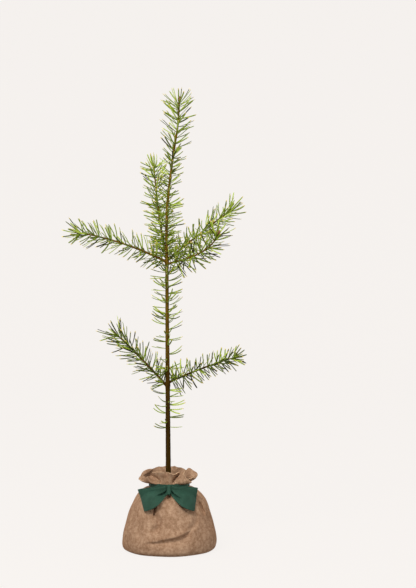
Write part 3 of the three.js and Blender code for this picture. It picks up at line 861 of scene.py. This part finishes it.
def frill_rings(edge, angle, rise, roll):
    """From the neck the cloth rises inside the ribbon, then runs out to the rim as its roll says"""
    gathered = NECK_RADIUS + 0.5 * np.cos(25 * angle)
    radial = np.stack([np.cos(angle), np.sin(angle), np.zeros_like(angle)], 1)
    up = np.array((0, 0, 1.0))
    neck = gathered[:, None] * radial * (1, POUCH_DEPTH_SHARE, 0) + NECK_HEIGHT * up
    tucked = np.zeros_like(angle)
    for azimuth, depth, width in NECK_GROOVES:
        gap = (np.degrees(angle) - azimuth + 180) % 360 - 180
        tucked += depth * np.exp(-((gap / width) ** 2))
    outward = edge * (1, 1, 0) / np.linalg.norm(edge[:, :2], axis=1)[:, None]
    cup = np.maximum(-roll, 0)
    over = np.where(np.cos(angle) > 0, np.maximum(roll, 0), 0)
    fold = np.where(np.cos(angle) < 0, np.maximum(roll, 0), 0)[:, None]
    bulge = over[:, None] * (0.55 * outward - (0, 1, 0))
    first = neck + np.outer(rise, up) + (0.7 * cup - 1.2 * tucked)[:, None] * radial + 1.1 * bulge
    pull = np.where(roll < 0, 0.12, 0.38)[:, None] * (1 - smoothstep(0, 8, fold))
    first += 0.9 * fold * radial
    second = edge + (first - edge) * pull + fold * (1.3 * up + 0.85 * radial)
    second += np.outer(0.3 * over - cup, up) + 0.2 * cup[:, None] * outward + 0.8 * bulge
    rings = []
    for i in range(1, FRILL_ROWS + 1):
        t = i / FRILL_ROWS
        ring = (1 - t) ** 3 * neck + 3 * t * (1 - t) ** 2 * first
        ring += 3 * t**2 * (1 - t) * second
        ring += t**3 * edge
        rings.append(ring)
    return rings


def pouch_piece(outer):
    """A closed shell: the rings outside, an inner copy moved in along the surface's own normal, and
    a disc over the first ring of each"""
    grid = np.array(outer)
    rows, columns, _ = grid.shape
    down = np.gradient(grid, axis=0)
    round_ = np.roll(grid, -1, axis=1) - np.roll(grid, 1, axis=1)
    normal = np.cross(round_, down)
    normal /= np.linalg.norm(normal, axis=2, keepdims=True) + 1e-9
    inner = grid - normal * CLOTH_THICKNESS
    floor_share = 1 - CLOTH_THICKNESS / FLOOR_RADIUS
    inner[0] = grid[0] * (floor_share, floor_share, 1) + (0, 0, CLOTH_THICKNESS)
    verts = [*grid.reshape(-1, 3), *inner[::-1].reshape(-1, 3)]
    spans = 2 * rows - 1
    # The cut edge lies between the outside's last ring and the inside's; its lighter colour is partly a
    # painted highlight along the rim
    slots = [int(i + 1 == rows) for i in range(spans) for _ in range(columns)]
    faces = tube_faces(spans, columns)
    place(mesh_piece("pouch_cloth", verts, faces, [CLOTH, CLOTH_EDGE_AND_HIGHLIGHT], [*slots, 0, 0]), "cloth", "pouch")


rim_edge, neck_angle, neck_rise, rim_roll = rim_lines()
pouch_piece(pouch_rings(neck_angle) + frill_rings(rim_edge, neck_angle, neck_rise, rim_roll))


# Root ball: a packed mass with a crumbly top that shows down inside the frill
ROOT_BALL = [
    (0, 4), (66, 4), (78, 10), (82, 22), (78, 50), (70, 78),
    (58, 100), (42, 114), (31, 121), (28, 125), (0, SOIL_HEIGHT),
]
CRUMB = 2.4
CRUMBLY_FROM = 118


def root_ball_piece():
    rng = np.random.default_rng(5)
    columns = 96
    steps = []
    for (r0, h0), (r1, h1) in zip(ROOT_BALL, ROOT_BALL[1:]):
        count = max(int(math.hypot(r1 - r0, h1 - h0) / CRUMB), 1)
        steps += [(r0 + (r1 - r0) * k / count, h0 + (h1 - h0) * k / count) for k in range(count)]
    steps = [s for s in steps if s[0] > 0.8]
    verts = []
    for r, h in steps:
        for j in range(columns):
            a = 2 * math.pi * j / columns
            loose = h > CRUMBLY_FROM
            rough = rng.uniform(-0.9, 0.5) if loose else rng.uniform(-0.8, 0.2)
            x = (r + rough) * math.cos(a)
            y = (r + rough) * math.sin(a) * POUCH_DEPTH_SHARE
            verts.append((x, y, h + rough * loose))
    faces = tube_faces(len(steps) - 1, columns)
    place(mesh_piece("root_ball_soil", verts, faces, [SOIL]), "soil", "root_ball")


root_ball_piece()

# Ribbon
BAND_LOW = 127.9
BAND_HIGH = 135.0
BAND_RADIUS = 39.0
KNOT = dict(x=1.2, width=12.6, depth=9.0, height=22.5, lean=42.0, front=50.5, centre=126.0)
BOW_LOOPS = [
    dict(
        name="bow_left", side=-1, top=(-60, 125.8), bottom=(-46, 86.8),
        bulge=5.5, fold=(0.5, 0.4), steep=9.0,
    ),
    dict(
        name="bow_right", side=1, top=(57.8, 128.8), bottom=(51.3, 86.8),
        bulge=4.5, fold=(0.56, 0.64), steep=8.0,
    ),
]
LOOP_ROOT_TOP = 134.6
LOOP_ROOT_BOTTOM = 117.4
LOOP_ROOT_INSET = 1.8
LOOP_OPEN = 8.0
LOOP_CLEAR = 2.5
RIBBON_THICKNESS = 1.0


def band_piece():
    columns, rows = 240, 8
    verts, faces = [], []
    for layer in range(2):
        for i in range(rows + 1):
            t = i / rows if layer == 0 else 1 - i / rows
            for j in range(columns):
                a = 2 * math.pi * j / columns
                pucker = 0.28 * math.sin(23 * a) + 0.2 * math.sin(41 * a + 1) * (t - 0.5)
                r = BAND_RADIUS + 0.5 + pucker + (RIBBON_THICKNESS if layer == 0 else 0)
                r += 0.3 * math.cos(math.pi * t)
                h = BAND_LOW + (BAND_HIGH - BAND_LOW) * t + 0.25 * math.sin(5 * a)
                verts.append((r * math.cos(a), r * math.sin(a) * POUCH_DEPTH_SHARE, h))
    total = 2 * (rows + 1)
    for i in range(total):
        for j in range(columns):
            k = (j + 1) % columns
            m = (i + 1) % total
            faces.append((i * columns + j, i * columns + k, m * columns + k, m * columns + j))
    place(mesh_piece("ribbon_round_neck", verts, faces, [RIBBON]), "ribbon", "ribbon_band")


def pouch_front(x, height):
    heights = [h for _, h in POUCH_BODY]
    radii = [r for r, _ in POUCH_BODY]
    radius = np.interp(height, heights, radii) + 2.6
    return POUCH_DEPTH_SHARE * np.sqrt(np.maximum(radius**2 - x**2, 0))


def loop_point(loop, u, v):
    """A place on a loop: u runs out along its back layer and home along its front, v down its width"""
    out = (1 - np.cos(2 * math.pi * u)) / 2
    open_now = LOOP_OPEN * (1 - 0.35 * v)
    split = 1.1 * np.cos(math.pi * u) + open_now * np.sin(2 * math.pi * u)
    outer_x = loop["top"][0] + (loop["bottom"][0] - loop["top"][0]) * v
    outer_z = loop["top"][1] + (loop["bottom"][1] - loop["top"][1]) * v
    root_x = KNOT["x"] + loop["side"] * (KNOT["width"] / 2 - LOOP_ROOT_INSET)
    root_z = LOOP_ROOT_TOP + (LOOP_ROOT_BOTTOM - LOOP_ROOT_TOP) * v
    x = root_x + (outer_x - root_x) * out
    z = root_z + (outer_z - root_z) * out - loop["bulge"] * np.sin(math.pi * out**0.8) * v
    rest = KNOT["front"] - 9 * out
    middle = np.maximum(rest, pouch_front(x, z) + open_now * np.abs(np.sin(2 * math.pi * u)) + LOOP_CLEAR)
    line = loop["fold"][0] + (loop["fold"][1] - loop["fold"][0]) * np.clip(out / 0.45, 0, 1)
    near = smoothstep(0, 0.04, out) * (1 - smoothstep(0.1, 0.5, out))
    step = loop["steep"] * (smoothstep(-0.035, 0.035, line - v) - 0.75) * near
    tuck = 0.8 * loop["steep"] * np.exp(-(((v - line - 0.08) / 0.1) ** 2)) * near
    folds = 0.7 * np.cos(2 * math.pi * (2.1 * v - 0.15)) * np.exp(-2.6 * out) * near
    y = -(middle + split + folds + step - tuck)
    return np.stack([x, y, z], -1)


def loop_piece(loop):
    columns, rows = 110, 34
    u = np.linspace(0, 1, columns + 1)[None, :].repeat(rows + 1, 0)
    v = np.linspace(0, 1, rows + 1)[:, None].repeat(columns + 1, 1)
    grid = loop_point(loop, u, v)
    normal = np.cross(np.gradient(grid, axis=1), np.gradient(grid, axis=0))
    normal /= np.linalg.norm(normal, axis=2, keepdims=True) + 1e-9
    other = grid + normal * RIBBON_THICKNESS
    verts = [*grid.reshape(-1, 3), *other.reshape(-1, 3)]
    w = columns + 1
    size = w * (rows + 1)
    faces = []
    for i in range(rows):
        for j in range(columns):
            a, b, c, d = i * w + j, i * w + j + 1, (i + 1) * w + j + 1, (i + 1) * w + j
            faces.append((a, d, c, b))
            faces.append((size + a, size + b, size + c, size + d))
    edge = [*range(columns)] + [i * w + columns for i in range(rows)]
    edge += [rows * w + j for j in range(columns, 0, -1)] + [i * w for i in range(rows, 0, -1)]
    for a, b in zip(edge, edge[1:] + edge[:1]):
        faces.append((a, b, size + b, size + a))
    place(mesh_piece(loop["name"] + "_cloth", verts, faces, [RIBBON]), "ribbon", loop["name"])


def knot_piece():
    rows, sides = 36, 56
    lean = math.radians(KNOT["lean"])
    along = np.array((0, -math.sin(lean), -math.cos(lean)))
    out = np.array((0, -math.cos(lean), math.sin(lean)))
    centre = np.array((KNOT["x"], -KNOT["front"], KNOT["centre"]))
    verts = []
    for i in range(rows + 1):
        t = i / rows
        bulge = math.sin(math.pi * (0.05 + 0.9 * t)) ** 0.3
        wide = KNOT["width"] / 2 * (1.0 - 0.3 * t) * bulge
        deep = KNOT["depth"] / 2 * bulge
        for j in range(sides):
            a = 2 * math.pi * j / sides
            crimp = 0.5 + 0.5 * math.cos(6 * a + 1.5 * math.sin(3 * t))
            groove = 1 - 0.1 * crimp * math.sin(math.pi * t)
            x = wide * groove * math.copysign(abs(math.cos(a)) ** 0.8, math.cos(a))
            y = deep * groove * math.copysign(abs(math.sin(a)) ** 0.8, math.sin(a))
            verts.append(centre + along * (t - 0.5) * KNOT["height"] + out * y + np.array((x, 0, 0)))
    faces = []
    for i in range(rows):
        for j in range(sides):
            k = (j + 1) % sides
            faces.append((i * sides + k, i * sides + j, (i + 1) * sides + j, (i + 1) * sides + k))
    faces.append(tuple(range(sides)))
    faces.append(tuple(reversed([rows * sides + j for j in range(sides)])))
    place(mesh_piece("bow_knot_cloth", verts, faces, [RIBBON]), "ribbon", "bow_knot")


band_piece()
for loop in BOW_LOOPS:
    loop_piece(loop)
knot_piece()


# Floor, light and camera
def stage_piece():
    """A round floor that curves up far off, so that it is plain from every side"""
    n = Nodes("floor_paper", colour(58, 57, 55), 0.9)
    n.finish(
        None, None, n.bump(n.noise(300, 2), 0.02, 0.0002),
        Specular_IOR_Level=0.0, Emission_Color=colour(247, 243, 240), Emission_Strength=0.955,
    )
    flat, curve, columns, rows = 5000, 4000, 96, 20
    rings = [(flat * k / 6, 0) for k in range(1, 7)]
    for t in np.linspace(0, math.pi / 2, rows)[1:]:
        rings.append((flat + curve * math.sin(t), curve * (1 - math.cos(t))))
    verts = [(0, 0, 0)]
    for r, h in rings:
        for j in range(columns):
            a = 2 * math.pi * j / columns
            verts.append((r * math.cos(a), r * math.sin(a), h))
    faces = [(0, 1 + j, 1 + (j + 1) % columns) for j in range(columns)]
    for i in range(len(rings) - 1):
        for j in range(columns):
            k = (j + 1) % columns
            a, b = 1 + i * columns, 1 + (i + 1) * columns
            faces.append((a + j, b + j, b + k, a + k))
    piece = mesh_piece("floor_sweep", verts, faces, [n.material])
    piece.visible_diffuse = False


stage_piece()


LIGHT_TARGET = (0, 0, 0.4)


def area_light(name, place_at, size, power, tint):
    data = bpy.data.lights.new(name, "AREA")
    data.shape = "RECTANGLE"
    data.size, data.size_y = size
    data.energy = power
    data.color = tint
    lamp = bpy.data.objects.new(name, data)
    lamp.location = place_at
    aim = np.array(LIGHT_TARGET) - np.array(place_at)
    tilt = math.atan2(math.hypot(aim[0], aim[1]), -aim[2])
    turn = math.atan2(aim[1], aim[0]) - math.pi / 2
    lamp.rotation_euler = (tilt, 0, turn)
    bpy.context.scene.collection.objects.link(lamp)


area_light("key_light", (-0.9, -1.9, 2.2), size=(0.9, 0.9), power=51, tint=(1.0, 0.985, 0.96))
area_light("front_light", (0.7, -2.9, 0.3), size=(2.2, 1.6), power=23, tint=(1.0, 0.99, 0.97))


def sky():
    """A soft studio sky, bright above and dim below"""
    world = bpy.data.worlds.new("studio")
    world.use_nodes = True
    tree = world.node_tree
    background = tree.nodes["Background"]
    background.inputs["Color"].default_value = colour(247, 243, 240)
    coords = tree.nodes.new("ShaderNodeTexCoord")
    split = tree.nodes.new("ShaderNodeSeparateXYZ")
    ramp = tree.nodes.new("ShaderNodeMapRange")
    for key, value in {"From Min": -1.0, "From Max": 1.0, "To Min": 0.17, "To Max": 0.88}.items():
        ramp.inputs[key].default_value = value
    tree.links.new(coords.outputs["Generated"], split.inputs[0])
    tree.links.new(split.outputs["Z"], ramp.inputs["Value"])
    tree.links.new(ramp.outputs[0], background.inputs["Strength"])
    bpy.context.scene.world = world


sky()
bpy.context.scene.view_settings.view_transform = "Standard"

# The camera looks level at the photo's centre. FRAME_HEIGHT is what it takes in at the stem.
CAMERA_DISTANCE = 2.6
FRAME_HEIGHT = 1.176
SENSOR = 36.0
camera_data = bpy.data.cameras.new("camera")
camera_data.sensor_width = SENSOR
camera_data.lens = SENSOR * CAMERA_DISTANCE / FRAME_HEIGHT
camera = bpy.data.objects.new("camera", camera_data)
camera.location = (0.0776, -CAMERA_DISTANCE, 0.5104)
camera.rotation_euler = (math.pi / 2, 0, 0)
bpy.context.scene.collection.objects.link(camera)
bpy.context.scene.camera = camera
